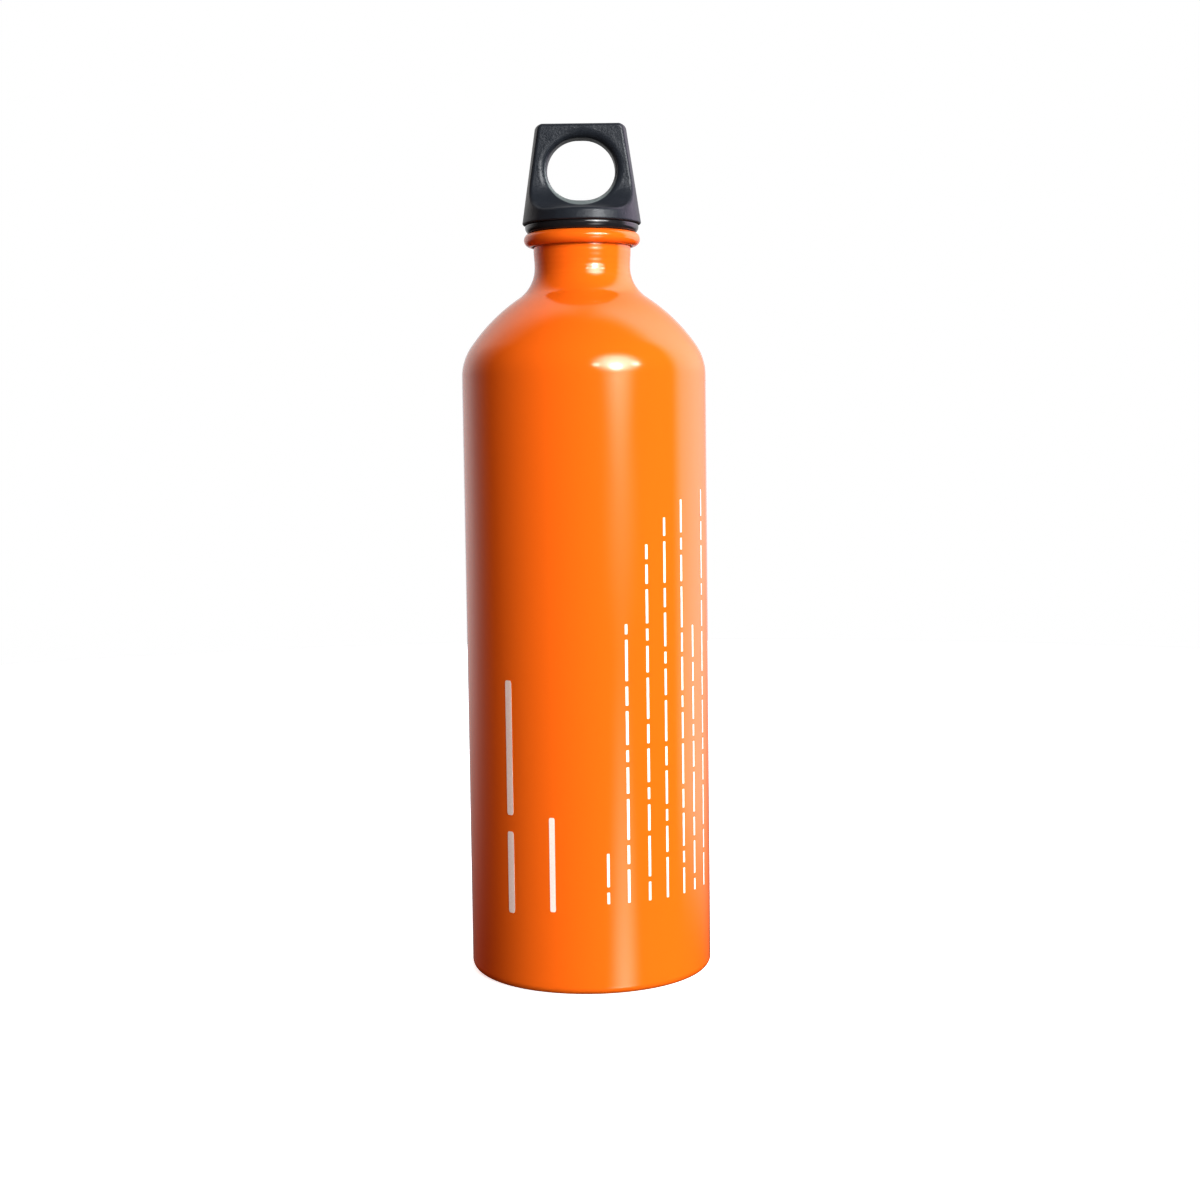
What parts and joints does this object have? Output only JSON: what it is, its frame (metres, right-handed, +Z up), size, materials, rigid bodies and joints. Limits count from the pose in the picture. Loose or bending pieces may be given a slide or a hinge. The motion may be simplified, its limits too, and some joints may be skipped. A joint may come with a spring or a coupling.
{
  "type": "camping fuel bottle",
  "caption": "Lacquered aluminium bottle for liquid stove fuel, with a rolled rim, a sealing ring and a black screw cap that carries a moulded loop.",
  "frame": {"origin": "centre of the ring the bottle stands on, at floor level", "axes": "+Z up along the bottle's axis, -Y towards the front, where the loop is seen face on with the cap screwed home"},
  "size_m": [0.072, 0.072, 0.25],
  "materials": {
    "orange_lacquer": "glossy orange lacquer over drawn aluminium",
    "bare_aluminium": "turned, bare",
    "black_rubber": "smooth, slightly glossy",
    "black_plastic": "satin moulded"
  },
  "bodies": {
    "bottle": {"bottle_shell": "orange_lacquer", "thread_insert": "bare_aluminium"},
    "seal": {"sealing_ring": "black_rubber"},
    "cap": {"loop_cap": "black_plastic"}
  },
  "joints": [
    {"name": "cap_rise", "type": "slide", "parent": "bottle", "child": "seal", "axis": [0, 0, 1], "range_m": [0, 0.01238]},
    {"name": "cap_turn", "type": "hinge", "parent": "seal", "child": "cap", "pos_m": [0, 0, 0.2213], "axis": [0, 0, 1], "range_deg": [0, 1485]}
  ],
  "couplings": [
    {"joint": "cap_rise", "follows": "cap_turn", "m_per_rad": 0.00047746}
  ]
}
